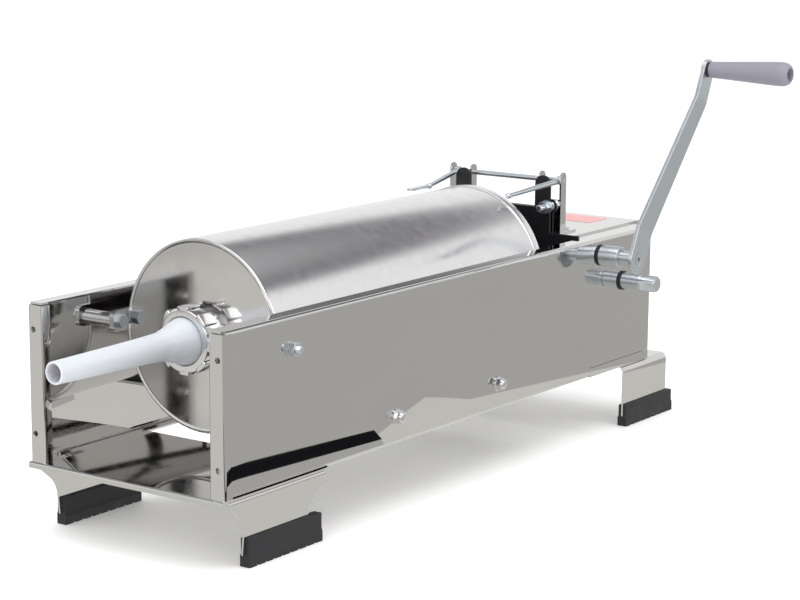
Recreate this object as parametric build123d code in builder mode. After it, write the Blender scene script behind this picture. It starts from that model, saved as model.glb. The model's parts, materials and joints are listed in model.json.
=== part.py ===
"""Horizontal crank-driven sausage stuffer: barrel, rack-driven piston, two-shaft gearing and frame.

Millimetres. +X runs from the nozzle end to the gear end, +Y from the crank side to the far side, +Z up.
The origin is on the table, under the middle of the machine's overall box.
"""
import os
from math import acos, cos, pi, radians, sin, tan

from build123d import *

os.makedirs("parts", exist_ok=True)

# Reaches of the overall box, from the side panels' front edge, mid-plane and bottom edge
tip_reach = 95.0  # funnel tip, ahead of the panels
tail_reach = 862.0  # rear feet, behind the panels' front edge
crank_reach = 314.0  # handle's end, out from the mid-plane
nut_reach = 137.2  # cap nuts, out from the mid-plane
leg_height = 74.0  # panels' bottom edge above the table
front_x = (tip_reach - tail_reach) / 2
mid_y = (crank_reach - nut_reach) / 2
base_z = leg_height

# Sheet metal
sheet = 2.0
bend = 4.0  # outside radius of a fold
half_width = 127.2  # mid-plane to a panel's outside face
panel_length = 809.0
panel_height = 164.0
flange = 19.3
cover_flange = 37.2  # wider top flange that carries the cover
gearbox_x = 671.0  # front of the gear housing
notch_height = 11.5

# Barrel
barrel_r = 100.0
barrel_wall = 1.5
barrel_z = 124.7
barrel_front = 116.8
barrel_back = 605.0
bore_r = barrel_r - barrel_wall
outlet_r = 21.0
collar_r = 28.0
collar_front = 96.0

# Gearing
gear_module = 2.0
rack_module = 2.5
pinion_teeth = 13
gear_teeth = 51
rack_pinion_teeth = 10
pressure = radians(25)
backlash = 0.24
crank_x = 690.4
crank_z = 144.4
centre_line = radians(-35.93)  # from the crank shaft down to the gear shaft
centres = gear_module * (pinion_teeth + gear_teeth) / 2
gear_x = crank_x + centres * cos(centre_line)
gear_z = crank_z + centres * sin(centre_line)
rack_pitch_z = gear_z + rack_module * rack_pinion_teeth / 2
crank_shaft_r = 8.0
gear_shaft_r = 9.8
gear_spigot_r = 7.0
drive_end = 175.0  # gear shaft's outer end, clear of the arm as it swings past
running = 0.05  # radial clearance of a running fit

# Crank
crank_lean = radians(24.7)
crank_radius = 238.0
arm_thickness = 4.5
arm_low = 178.0  # outside face at the shaft, out from the mid-plane
arm_high = 210.0  # outside face at the handle
handle_x = crank_x + crank_radius * sin(crank_lean)
handle_z = crank_z + crank_radius * cos(crank_lean)

# Piston and rack at rest, fully forward
piston_front = 124.0
piston_back = 142.0
rack_width = 20.0
rack_top = rack_pitch_z + 12.6
rack_rear = 775.0

# Stations of the fasteners
pivot_x, pivot_z = 104.0, 131.0
cradle_stations = (278.7, 471.0)
cradle_bolt_z = 29.3
bolt_r = 4.0
latch_z = 229.0  # axis of the latch rod
latch_x = 684.0


def at(x, y, z):
    """Point x behind the panels' front edge, y from the mid-plane and z above the panels' bottom edge."""
    return (front_x + x, mid_y + y, base_z + z)


def side_plane(y=0.0):
    """Upright plane facing the crank side, with local x to the rear and local y up."""
    return Plane(origin=at(0, y, 0), x_dir=(1, 0, 0), z_dir=(0, -1, 0))


def end_plane(x=0.0):
    """Upright plane facing the rear, with local x to the far side and local y up."""
    return Plane(origin=at(x, 0, 0), x_dir=(0, 1, 0), z_dir=(1, 0, 0))


def level_plane(z=0.0):
    """Level plane facing up, with local x to the rear and local y to the far side."""
    return Plane(origin=at(0, 0, z))


mid_plane = Plane(origin=at(0, 0, 0), z_dir=(0, 1, 0))
barrel_axis = Axis(at(0, 0, barrel_z), (1, 0, 0))


def save(part, name):
    """Writes one finished piece to its own file."""
    part.label = name
    export_step(part, f"parts/{name}.step")


def save_pair(part, name):
    """Writes a crank-side piece and its mirror image on the far side."""
    save(part, name + "_near")
    save(mirror(part, about=mid_plane), name + "_far")


def save_group(part, name):
    """Writes a crank-side set of solids together with its mirror image, as one node."""
    save(Compound(children=part.solids() + mirror(part, about=mid_plane).solids()), name)


def gear_points(x, z, teeth, module, root, turn):
    """Outline of an involute gear centred on (x, z), with the centre line of one tooth at angle turn."""
    pitch_r = module * teeth / 2
    tip = pitch_r + module
    base_r = pitch_r * cos(pressure)
    start = max(root, base_r)
    half = pi / (2 * teeth) - backlash / (4 * pitch_r) + tan(pressure) - pressure
    flank = []
    for step in range(5):
        r = start + (tip - start) * step / 4
        angle = acos(min(1.0, base_r / r))
        flank.append((r, half - tan(angle) + angle))
    if root < start:
        flank.insert(0, (root, flank[0][1]))
    points = []
    for tooth in range(teeth):
        centre = turn + 2 * pi * tooth / teeth
        points += [(x + r * cos(centre - w), z + r * sin(centre - w)) for r, w in flank]
        points += [(x + r * cos(centre + w), z + r * sin(centre + w)) for r, w in reversed(flank)]
    return points


# ---------------------------------------------------------------- frame

with BuildPart() as side_panel:
    with BuildSketch(end_plane(bend)):
        with BuildLine():
            FilletPolyline(
                (-half_width + 15, 0),
                (-half_width, 0),
                (-half_width, panel_height),
                (-half_width + flange, panel_height),
                radius=bend,
            )
            offset(amount=sheet, side=Side.RIGHT)
        make_face()
    extrude(amount=gearbox_x - bend)
    with BuildSketch(end_plane(gearbox_x)):
        with BuildLine():
            FilletPolyline(
                (-half_width, notch_height),
                (-half_width, panel_height),
                (-half_width + cover_flange, panel_height),
                radius=bend,
            )
            offset(amount=sheet, side=Side.RIGHT)
        make_face()
    extrude(amount=panel_length - gearbox_x)
    # Front flange with its return, a slot's width below the top flange
    with BuildSketch(level_plane(0)):
        with BuildLine():
            FilletPolyline(
                (12, -half_width + flange),
                (0, -half_width + flange),
                (0, -half_width),
                (12, -half_width),
                radius=bend - 0.5,
            )
            offset(amount=sheet, side=Side.LEFT)
        make_face()
    extrude(amount=panel_height - sheet - 1)
    with BuildSketch(level_plane(panel_height - sheet)):
        with Locations((bend / 2 + 0.5, -half_width + (flange + bend) / 2)):
            Rectangle(bend - 1, flange - bend)
    extrude(amount=sheet)
    # Rear flange
    with BuildSketch(side_plane(-half_width + sheet)):
        with Locations((panel_length - sheet / 2, (panel_height + notch_height) / 2)):
            Rectangle(sheet, panel_height - notch_height - 2 * sheet)
    extrude(amount=-(flange - sheet))
    # Room for the gear plate, which stands between the two flange widths
    with BuildSketch(level_plane(panel_height - sheet)):
        with Locations((gearbox_x + 1.5, -half_width + cover_flange)):
            Rectangle(3.4, 2 * (cover_flange - flange))
    extrude(amount=sheet, mode=Mode.SUBTRACT)
    # Holes in the front flange
    with BuildSketch(end_plane(-1)):
        with Locations((-119.7, 29.3), (-119.7, 136)):
            Circle(3.25)
    extrude(amount=4, mode=Mode.SUBTRACT)
    # Pivot, cradle and shaft holes in the web
    with BuildSketch(side_plane(-half_width)):
        with Locations((pivot_x, pivot_z), *[(x, cradle_bolt_z) for x in cradle_stations]):
            Circle(bolt_r)
        with Locations((crank_x, crank_z), (gear_x, gear_z)):
            Circle(11.2)
    extrude(amount=-2 * sheet, mode=Mode.SUBTRACT)
save_pair(side_panel.part, "side_panel")

with BuildPart() as front_plate:
    with BuildSketch(side_plane(-half_width)):
        with BuildLine():
            FilletPolyline((164, 0), (-3, 0), (-3, -6.3), radius=2.5)
            offset(amount=sheet, side=Side.LEFT)
        make_face()
    extrude(amount=-2 * half_width)
save(front_plate.part, "front_plate")

with BuildPart() as front_leg:
    with BuildSketch(end_plane(8)):
        with BuildLine():
            FilletPolyline((-95, -sheet), (-half_width, -sheet), (-121.7, -62), radius=bend)
            offset(amount=sheet, side=Side.LEFT)
        make_face()
    extrude(amount=150)
    with BuildSketch(side_plane(0)):
        with BuildLine():
            Line((158, 0), (158, -7))
            Bezier((158, -7), (148, -20), (134, -24), (134, -42))
            Polyline((134, -42), (134, -66), (33, -66), (33, -42))
            Bezier((33, -42), (33, -24), (18, -20), (8, -7))
            Polyline((8, -7), (8, 0), (158, 0))
        make_face()
    extrude(amount=half_width + 20, mode=Mode.INTERSECT)
save_pair(front_leg.part, "front_leg")

with BuildPart() as rear_leg:
    with BuildSketch(end_plane(748)):
        with BuildLine():
            FilletPolyline((-95, 0), (-129.2, 0), (-129.2, -62), radius=8)
            offset(amount=sheet, side=Side.LEFT)
        make_face()
    extrude(amount=105)
save_pair(rear_leg.part, "rear_leg")


def foot_block(x_start, x_end, centre_y, top, leg):
    """Rubber shoe with a flared, toothed sole, slotted for the leg that stands in it."""
    with BuildPart() as foot:
        with BuildSketch(end_plane(x_start)):
            with BuildLine():
                Polyline(
                    (centre_y - 5.2, top),
                    (centre_y + 5.2, top),
                    (centre_y + 5.2, -62),
                    (centre_y + 6.5, -65),
                    (centre_y + 6.5, -leg_height),
                    (centre_y - 6.5, -leg_height),
                    (centre_y - 6.5, -65),
                    (centre_y - 5.2, -62),
                    close=True,
                )
            make_face()
        extrude(amount=x_end - x_start)
        fillet(foot.edges().filter_by(Axis.Z), radius=1.2)
        fillet(foot.faces().sort_by(Axis.Z)[-1].edges(), radius=0.8)
        pitch = (x_end - x_start) / 9
        with BuildSketch(side_plane(centre_y)):
            with Locations(((x_start + x_end) / 2, -leg_height)):
                with GridLocations(pitch, 1, 8, 1):
                    Trapezoid(pitch * 0.55, 6.4, 65)
        extrude(amount=20, both=True, mode=Mode.SUBTRACT)
        add(leg, mode=Mode.SUBTRACT)
    return foot.part


save_pair(foot_block(36, 152, -121.5, -45, front_leg.part), "front_foot")
save_pair(foot_block(748, 862, -128.2, -48, rear_leg.part), "rear_foot")

with BuildPart() as rear_base:
    with BuildSketch(end_plane(gearbox_x)):
        with Locations((0, notch_height / 2 - 0.25)):
            Rectangle(2 * half_width, notch_height - 0.5)
            Rectangle(2 * (half_width - sheet), notch_height - 0.5 - 2 * sheet, mode=Mode.SUBTRACT)
        with Locations((0, 0)):
            Rectangle(190, 3 * sheet, mode=Mode.SUBTRACT)
    extrude(amount=panel_length - gearbox_x)
save(rear_base.part, "rear_base")

with BuildPart() as gear_plate:
    with BuildSketch(end_plane(gearbox_x)):
        with Locations((0, 85.5)):
            Rectangle(2 * (half_width - sheet), 149)
        with Locations((0, 100)):
            Rectangle(2 * 107, 134)
        with Locations((0, 180)):
            Rectangle(2 * 67, 34)
        with Locations((-56.5, 196), (56.5, 196)):
            Rectangle(21, 78)
    extrude(amount=3)
    fillet(gear_plate.edges().filter_by(Axis.X).group_by(Axis.Z)[-1], radius=10)
    # Lip folded back along the middle part's top
    with BuildSketch(side_plane(-46)):
        with Locations((gearbox_x + 5, 195.5)):
            Rectangle(10, 3)
    extrude(amount=-92)
    # Rack window, bolt holes
    with BuildSketch(end_plane(gearbox_x)):
        with Locations((0, barrel_z)):
            Rectangle(rack_width + 6, 22)
        with Locations((-62.5, 198), (62.5, 198)):
            Circle(bolt_r)
    extrude(amount=3, mode=Mode.SUBTRACT)
save(gear_plate.part, "gear_plate")

with BuildPart() as top_cover:
    with BuildSketch(level_plane(panel_height)):
        with Locations(((gearbox_x + 4 + 833) / 2, 0)):
            RectangleRounded(833 - gearbox_x - 4, 2 * 97, 2)
    extrude(amount=sheet)
    # Clearance holes under the strap feet
    with Locations(*[at(706, y, panel_height + sheet) for y in (-68.5, 68.5)]):
        Hole(radius=2.5, depth=sheet)
save(top_cover.part, "top_cover")

with BuildPart() as rear_cover:
    with BuildSketch(level_plane(notch_height)):
        with BuildLine():
            FilletPolyline(
                (panel_length, -120),
                (panel_length + sheet, -120),
                (panel_length + sheet, -96),
                (833, -96),
                (833, 96),
                (panel_length + sheet, 96),
                (panel_length + sheet, 120),
                (panel_length, 120),
                (panel_length, 94),
                (831, 94),
                (831, -94),
                (panel_length, -94),
                radius=0.9,
                close=True,
            )
        make_face()
    extrude(amount=panel_height - notch_height)
    # The rack comes out here as the piston goes back
    with BuildSketch(end_plane(833)):
        with Locations((0, barrel_z)):
            Rectangle(rack_width + 6, 22)
    extrude(amount=-sheet, mode=Mode.SUBTRACT)
    cover_holes = [at(panel_length + sheet, y, z) for y in (-113, 113) for z in (40, 140)]
    with Locations(*[Plane(hole, z_dir=(1, 0, 0)) for hole in cover_holes]):
        Hole(radius=2.5, depth=sheet)
save(rear_cover.part, "rear_cover")

with BuildPart() as strap:
    for y, z_top in ((-50, 239), (-79, 239)):
        with BuildSketch(side_plane(y + sheet)):
            with Locations((682, (panel_height + sheet + z_top) / 2)):
                Rectangle(12, z_top - panel_height - sheet)
        extrude(amount=sheet)
    fillet(strap.edges().filter_by(Axis.Y).group_by(Axis.Z)[-1], radius=5.9)
    with BuildSketch(end_plane(676)):
        with Locations((-63.5, (panel_height + sheet + 207) / 2)):
            Rectangle(31, 207 - panel_height - sheet)
    extrude(amount=sheet)
    with BuildSketch(level_plane(panel_height + sheet)):
        with Locations((694, -63.5)):
            Rectangle(36, 31)
    extrude(amount=sheet)
    with Locations(at(706, -68.5, panel_height + 2 * sheet)):
        Hole(radius=2.5, depth=sheet)
    with Locations(Plane(at(676, -62.5, 198), z_dir=(-1, 0, 0))):
        Hole(radius=bolt_r, depth=sheet)
    with Locations(side_plane(-79) * Pos(latch_x, latch_z, 0)):
        Hole(radius=3 + running)
save_pair(strap.part, "latch_strap")

# ---------------------------------------------------------------- barrel

with BuildPart() as barrel_tube:
    with BuildSketch(end_plane(barrel_front)):
        with Locations((0, barrel_z)):
            Circle(barrel_r)
            Circle(bore_r, mode=Mode.SUBTRACT)
    extrude(amount=barrel_back - barrel_front)
    front_edges = barrel_tube.edges().filter_by(GeomType.CIRCLE).group_by(Axis.X)[0]
    fillet(front_edges.sort_by(SortBy.RADIUS)[-1], radius=1.2)
save(barrel_tube.part, "barrel_tube")

with BuildPart() as barrel_front_plate:
    with BuildSketch(end_plane(barrel_front + 0.5)):
        with Locations((0, barrel_z)):
            Circle(bore_r)
            Circle(collar_r, mode=Mode.SUBTRACT)
    extrude(amount=3)
save(barrel_front_plate.part, "barrel_front_plate")

with BuildPart() as barrel_rim:
    with BuildSketch(end_plane(barrel_back - 11)):
        with Locations((0, barrel_z)):
            Circle(barrel_r + 1.5)
            Circle(barrel_r, mode=Mode.SUBTRACT)
    extrude(amount=11)
    fillet(barrel_rim.edges().filter_by(GeomType.CIRCLE).group_by(SortBy.RADIUS)[-1], radius=0.7)
save(barrel_rim.part, "barrel_rim")

with BuildPart() as outlet_collar:
    with BuildSketch(end_plane(collar_front)):
        with Locations((0, barrel_z)):
            Circle(collar_r)
            Circle(outlet_r, mode=Mode.SUBTRACT)
    extrude(amount=barrel_front + 3.5 - collar_front)
save(outlet_collar.part, "outlet_collar")

with BuildPart() as pivot_brackets:
    with BuildSketch(side_plane(-98)):
        with Locations(((94 + 150) / 2, pivot_z)):
            RectangleRounded(56, 22, 6)
        with Locations((pivot_x, pivot_z)):
            Circle(bolt_r, mode=Mode.SUBTRACT)
    extrude(amount=6)
    with BuildSketch(end_plane(barrel_front)):
        with Locations((0, barrel_z)):
            Circle(barrel_r)
    extrude(amount=60, mode=Mode.SUBTRACT)
save_group(pivot_brackets.part, "pivot_brackets")

with BuildPart() as pivot_sleeves:
    with BuildSketch(side_plane(-104)):
        with Locations((pivot_x, pivot_z)):
            Circle(8)
            Circle(bolt_r, mode=Mode.SUBTRACT)
    extrude(amount=half_width - sheet - 104)
save_group(pivot_sleeves.part, "pivot_sleeves")

with BuildPart() as pivot_bolts:
    with BuildSketch(side_plane(-92.7)):
        with Locations((pivot_x, pivot_z)):
            RegularPolygon(7.5, 6)
    extrude(amount=5.3)
    with BuildSketch(side_plane(-98)):
        with Locations((pivot_x, pivot_z)):
            Circle(bolt_r)
    extrude(amount=41)
    chamfer(pivot_bolts.edges().sort_by(Axis.Y)[0], length=0.8)
save_group(pivot_bolts.part, "pivot_bolts")

with BuildPart() as cradles:
    for station in cradle_stations:
        with BuildSketch(end_plane(station - 12)):
            with BuildLine():
                FilletPolyline(
                    (-half_width + sheet, 42),
                    (-half_width + sheet, 17.6),
                    (half_width - sheet, 17.6),
                    (half_width - sheet, 42),
                    radius=5,
                )
                offset(amount=3, side=Side.LEFT)
            make_face()
        extrude(amount=24)
    with BuildSketch(side_plane(-half_width)):
        with Locations(*[(x, cradle_bolt_z) for x in cradle_stations]):
            Circle(bolt_r)
    extrude(amount=-2 * half_width, mode=Mode.SUBTRACT)
save(cradles.part, "cradles")

with BuildPart() as cradle_pads:
    for station in cradle_stations:
        with BuildSketch(end_plane(station - 10)):
            with Locations((0, 25.6)):
                Rectangle(80, 10)
        extrude(amount=20)
    with BuildSketch(end_plane(barrel_front)):
        with Locations((0, barrel_z)):
            Circle(barrel_r)
    extrude(amount=barrel_back - barrel_front, mode=Mode.SUBTRACT)
save(cradle_pads.part, "cradle_pads")

with BuildPart() as cradle_bolts:
    with BuildSketch(side_plane(-half_width + sheet + 3 + 5.3)):
        with Locations(*[(x, cradle_bolt_z) for x in cradle_stations]):
            RegularPolygon(7.5, 6)
    extrude(amount=5.3)
    with BuildSketch(side_plane(-half_width + sheet + 3)):
        with Locations(*[(x, cradle_bolt_z) for x in cradle_stations]):
            Circle(bolt_r)
    extrude(amount=12)
save_group(cradle_bolts.part, "cradle_bolts")

with BuildPart() as cap_nuts:
    for station in cradle_stations:
        with BuildSketch(side_plane(-half_width)):
            with Locations((station, cradle_bolt_z)):
                Circle(8.4)
        extrude(amount=1.4)
        with BuildSketch(side_plane(-half_width - 1.4)):
            with Locations((station, cradle_bolt_z)):
                RegularPolygon(7.2, 6)
        extrude(amount=5.4)
        with BuildSketch(side_plane(-half_width - 6.8)):
            with Locations((station, cradle_bolt_z)):
                Circle(5.8)
        extrude(amount=nut_reach - half_width - 6.8)
    fillet(cap_nuts.faces().filter_by(Axis.Y).group_by(Axis.Y)[0].edges(), radius=2.4)
    add(cradle_bolts.part, mode=Mode.SUBTRACT)
save_group(cap_nuts.part, "cap_nuts")

# ---------------------------------------------------------------- shaft bearings



def bush(x, z, shaft_r, collar):
    """Flanged bush in the near panel, its outer end flush with the panel."""
    with BuildPart() as ring:
        with BuildSketch(side_plane(-112)):
            with Locations((x, z)):
                Circle(11.2)
        extrude(amount=half_width - 112)
        with BuildSketch(side_plane(-half_width + sheet + 4)):
            with Locations((x, z)):
                Circle(collar)
        extrude(amount=4)
        with BuildSketch(side_plane(-112)):
            with Locations((x, z)):
                Circle(shaft_r + running)
        extrude(amount=half_width - 112, mode=Mode.SUBTRACT)
    return ring.part


save_group(bush(crank_x, crank_z, crank_shaft_r, 15.4), "crank_bushes")
save(bush(gear_x, gear_z, gear_shaft_r, 18), "gear_bush_near")
save(mirror(bush(gear_x, gear_z, gear_spigot_r, 18), about=mid_plane), "gear_bush_far")

with BuildPart() as shaft_seals:
    for x, z, shaft_r, outer in (
        (crank_x, crank_z, crank_shaft_r, 12.4),
        (gear_x, gear_z, gear_shaft_r, 11.4),
    ):
        with BuildSketch(side_plane(-half_width)):
            with Locations((x, z)):
                Circle(outer)
                Circle(shaft_r + 0.1, mode=Mode.SUBTRACT)
        extrude(amount=2)
save(shaft_seals.part, "shaft_seals")

with BuildPart() as rack_guide:
    with BuildSketch(end_plane(gearbox_x + 3)):
        with Locations((0, (rack_top + 4 + gear_z + 11.5) / 2)):
            Rectangle(32, rack_top + 4 - gear_z - 11.5)
    extrude(amount=panel_length - gearbox_x - 6)
    with BuildSketch(end_plane(gearbox_x)):
        with Locations((0, rack_top + 0.1 - 20)):
            Rectangle(rack_width + 0.2, 40)
    extrude(amount=200, mode=Mode.SUBTRACT)
save(rack_guide.part, "rack_guide")

# ---------------------------------------------------------------- fasteners

with BuildPart() as tab_bolts:
    with BuildSketch(end_plane(653)):
        with Locations((-62.5, 198)):
            Circle(bolt_r)
    extrude(amount=25)
    with BuildSketch(end_plane(678)):
        with Locations((-62.5, 198)):
            RegularPolygon(7.5, 6)
    extrude(amount=5.3)
    chamfer(tab_bolts.edges().sort_by(Axis.X)[0], length=0.8)
save_group(tab_bolts.part, "tab_bolts")

with BuildPart() as hex_nuts:
    with BuildSketch(side_plane(-half_width)):
        with Locations((pivot_x, pivot_z)):
            RegularPolygon(7.5, 6)
            Circle(bolt_r, mode=Mode.SUBTRACT)
    extrude(amount=6.5)
    with BuildSketch(end_plane(662.4)):
        with Locations((-62.5, 198)):
            RegularPolygon(7.5, 6)
            Circle(bolt_r, mode=Mode.SUBTRACT)
    extrude(amount=6.5)
save_group(hex_nuts.part, "hex_nuts")

with BuildPart() as tab_washers:
    for start, radius in ((669.0, 8.5), (674.0, 7.0)):
        with BuildSketch(end_plane(start)):
            with Locations((-62.5, 198)):
                Circle(radius)
                Circle(bolt_r, mode=Mode.SUBTRACT)
        extrude(amount=2)
save_group(tab_washers.part, "tab_washers")


def screw(plane, head_r, head_h, length):
    """Round-headed screw with a cross recess, its head on the plane and its shank behind it."""
    with BuildPart() as body:
        with BuildSketch(plane):
            Circle(head_r)
        extrude(amount=head_h)
        fillet(body.edges().filter_by(GeomType.CIRCLE).sort_by(SortBy.DISTANCE)[-1:], radius=head_h * 0.45)
        with BuildSketch(plane):
            Circle(2.5)
        extrude(amount=-length)
        with BuildSketch(plane.offset(head_h)):
            Rectangle(head_r, 0.9)
            Rectangle(0.9, head_r)
        extrude(amount=-head_h * 0.4, mode=Mode.SUBTRACT)
    return body.part


screws = [screw(Plane(at(706, -68.5, panel_height + 2 * sheet)), 4.5, 2.4, 2 * sheet)]
for z in (40, 140):
    screws.append(screw(Plane(at(panel_length + sheet, -113, z), z_dir=(1, 0, 0)), 4.5, 2.4, sheet))
save_group(Compound(children=screws), "cover_screws")

# ---------------------------------------------------------------- crank

arm_dir = (sin(crank_lean), 0, cos(crank_lean))

with BuildPart() as crank_shaft:
    with BuildSketch(side_plane(half_width + 2)):
        with Locations((crank_x, crank_z)):
            Circle(crank_shaft_r)
    extrude(amount=half_width + 2 + arm_low - arm_thickness)
    with BuildSketch(side_plane(-arm_low + arm_thickness)):
        with Locations((crank_x, crank_z)):
            Circle(bolt_r)
    extrude(amount=-20, mode=Mode.SUBTRACT)
save(crank_shaft.part, "crank_shaft")

with BuildPart() as crank_hub:
    with BuildSketch(side_plane(-129.4)):
        with Locations((crank_x, crank_z)):
            Circle(12.25)
            Circle(crank_shaft_r, mode=Mode.SUBTRACT)
    extrude(amount=25.6)
    fillet(crank_hub.edges().filter_by(GeomType.CIRCLE).group_by(SortBy.RADIUS)[-1], radius=0.8)
save(crank_hub.part, "crank_hub")

with BuildPart() as crank_arm:
    arm_normal = (cos(crank_lean), 0, -sin(crank_lean))
    with BuildSketch(Plane(origin=at(crank_x, 0, crank_z), x_dir=arm_dir, z_dir=arm_normal)):
        with BuildLine():
            FilletPolyline((-25, arm_low), (36, arm_low), (199, arm_high), (265, arm_high), radius=30)
            offset(amount=arm_thickness, side=Side.RIGHT)
        make_face()
    extrude(amount=25, both=True)
    with BuildSketch(Plane(origin=at(crank_x, 0, crank_z), x_dir=arm_dir, z_dir=(0, -1, 0))):
        Circle(17.5)
        with Locations((crank_radius, 0)):
            Circle(12)
        make_hull()
    extrude(amount=arm_high + 20, mode=Mode.INTERSECT)
    with Locations(side_plane(-arm_low) * Pos(crank_x, crank_z, 0)):
        CounterSinkHole(radius=bolt_r, counter_sink_radius=7, depth=arm_thickness + 1, counter_sink_angle=90)
    with Locations(side_plane(-arm_high) * Pos(handle_x, handle_z, 0)):
        Hole(radius=5, depth=arm_thickness + 1)
save(crank_arm.part, "crank_arm")

with BuildPart() as crank_screw:
    with BuildSketch(side_plane(-arm_low)):
        with Locations((crank_x, crank_z)):
            Circle(7)
    extrude(amount=-3, taper=45)
    with BuildSketch(side_plane(-arm_low)):
        with Locations((crank_x, crank_z)):
            Circle(bolt_r)
    extrude(amount=-20)
    with BuildSketch(side_plane(-arm_low)):
        with Locations((crank_x, crank_z)):
            RegularPolygon(2.9, 6)
    extrude(amount=-3, mode=Mode.SUBTRACT)
save(crank_screw.part, "crank_screw")

with BuildPart() as drive_pinion:
    with BuildSketch(side_plane(-45)):
        with BuildLine():
            Polyline(*gear_points(crank_x, crank_z, pinion_teeth, gear_module, 10.6, centre_line), close=True)
        make_face()
        with Locations((crank_x, crank_z)):
            Circle(crank_shaft_r, mode=Mode.SUBTRACT)
    extrude(amount=16)
save(drive_pinion.part, "drive_pinion")


def clip(x, z, shaft_r):
    """Retaining ring on a shaft, just inside the near bush."""
    with BuildPart() as ring:
        with BuildSketch(side_plane(-110.7)):
            with Locations((x, z)):
                Circle(shaft_r + 3.5)
                Circle(shaft_r, mode=Mode.SUBTRACT)
                with Locations((shaft_r + 2, 0)):
                    Rectangle(5, 4, mode=Mode.SUBTRACT)
        extrude(amount=1.2)
    return ring.part


save(clip(crank_x, crank_z, crank_shaft_r), "crank_shaft_clip")
save(clip(gear_x, gear_z, gear_shaft_r), "gear_shaft_clip")

with BuildPart() as handle_spindle:
    for start, end, radius in ((-202.5, -205.5, 8), (-205.5, -302.2, 5), (-302.2, -306.2, 7)):
        with BuildSketch(side_plane(start)):
            with Locations((handle_x, handle_z)):
                Circle(radius)
        extrude(amount=start - end)
    with BuildSketch(side_plane(-306.2)):
        with Locations((handle_x, handle_z)):
            RegularPolygon(3.4, 6)
    extrude(amount=-3, mode=Mode.SUBTRACT)
save(handle_spindle.part, "handle_spindle")

with BuildPart() as handle_washer:
    with BuildSketch(side_plane(-arm_high)):
        with Locations((handle_x, handle_z)):
            Circle(8.8)
            Circle(5, mode=Mode.SUBTRACT)
    extrude(amount=2.4)
save(handle_washer.part, "handle_washer")

with BuildPart() as handle_grip:
    # Half outline about the spindle: local x out from the axis, local y out from the machine
    with BuildSketch(Plane(origin=at(handle_x, 0, handle_z), x_dir=(1, 0, 0), z_dir=(0, 0, 1))):
        with BuildLine():
            Polyline((5 + running, -301.8), (5 + running, -212.6), (8.2, -212.6))
            Spline((8.2, -212.6), (9.4, -215), (10.6, -240), (12.6, -275), (13.9, -300))
            Spline((13.9, -300), (13.3, -309), (8.8, -crank_reach), tangents=((0.02, -1), (-1, -0.15)))
            Polyline((8.8, -crank_reach), (7.6, -crank_reach), (7.6, -301.8), (5 + running, -301.8))
        make_face()
    revolve(axis=Axis(at(handle_x, 0, handle_z), (0, 1, 0)))
save(handle_grip.part, "handle_grip")

# ---------------------------------------------------------------- gear shaft

with BuildPart() as gear_shaft:
    with BuildSketch(side_plane(-109)):
        with Locations((gear_x, gear_z)):
            Circle(gear_shaft_r)
    extrude(amount=drive_end - 109)
    chamfer(gear_shaft.edges().group_by(Axis.Y)[0], length=1.6)
    with BuildSketch(side_plane(-155)):
        with Locations((gear_x, gear_z)):
            Circle(gear_shaft_r + 2)
            Rectangle(16.8, 16.8, rotation=20, mode=Mode.SUBTRACT)
    extrude(amount=30, mode=Mode.SUBTRACT)
    with BuildSketch(side_plane(-149)):
        with Locations((gear_x, gear_z)):
            Circle(gear_shaft_r + 2)
            Circle(gear_shaft_r - 1, mode=Mode.SUBTRACT)
    extrude(amount=2, mode=Mode.SUBTRACT)
    with BuildSketch(side_plane(half_width + 2)):
        with Locations((gear_x, gear_z)):
            Circle(gear_spigot_r)
    extrude(amount=half_width + 2 + 109)
save(gear_shaft.part, "gear_shaft")

# A gap of the gear faces the pinion's tooth on the line of centres
gear_turn = centre_line + pi + pi / gear_teeth

with BuildPart() as drive_gear:
    with BuildSketch(side_plane(-46)):
        with BuildLine():
            Polyline(*gear_points(gear_x, gear_z, gear_teeth, gear_module, 48.4, gear_turn), close=True)
        make_face()
        with Locations((gear_x, gear_z)):
            Circle(gear_spigot_r, mode=Mode.SUBTRACT)
            with PolarLocations(29, 5):
                Circle(9, mode=Mode.SUBTRACT)
    extrude(amount=14)
    with BuildSketch(side_plane(-40)):
        with Locations((gear_x, gear_z)):
            Circle(14)
            Circle(gear_spigot_r, mode=Mode.SUBTRACT)
    extrude(amount=26)
save(drive_gear.part, "drive_gear")

with BuildPart() as rack_pinion:
    with BuildSketch(side_plane(9.8)):
        with BuildLine():
            Polyline(*gear_points(gear_x, gear_z, rack_pinion_teeth, rack_module, 9.4, pi / 2), close=True)
        make_face()
        with Locations((gear_x, gear_z)):
            Circle(gear_spigot_r, mode=Mode.SUBTRACT)
    extrude(amount=19.6)
save(rack_pinion.part, "rack_pinion")

# ---------------------------------------------------------------- piston

with BuildPart() as piston_disc:
    with BuildSketch(end_plane(piston_front)):
        with Locations((0, barrel_z)):
            Circle(bore_r - 1)
    extrude(amount=piston_back - piston_front)
    chamfer(piston_disc.edges().filter_by(GeomType.CIRCLE), length=1)
    # Seal groove, nut recess, stud hole and valve hole
    with BuildSketch(end_plane(piston_front + 5)):
        with Locations((0, barrel_z)):
            Circle(bore_r)
            Circle(bore_r - 6, mode=Mode.SUBTRACT)
    extrude(amount=8, mode=Mode.SUBTRACT)
    with BuildSketch(end_plane(piston_front)):
        with Locations((0, barrel_z)):
            Circle(12)
    extrude(amount=7, mode=Mode.SUBTRACT)
    with BuildSketch(end_plane(piston_front)):
        with Locations((0, barrel_z), (0, barrel_z + 55)):
            Circle(6)
    extrude(amount=piston_back - piston_front, mode=Mode.SUBTRACT)
save(piston_disc.part, "piston_disc")

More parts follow.
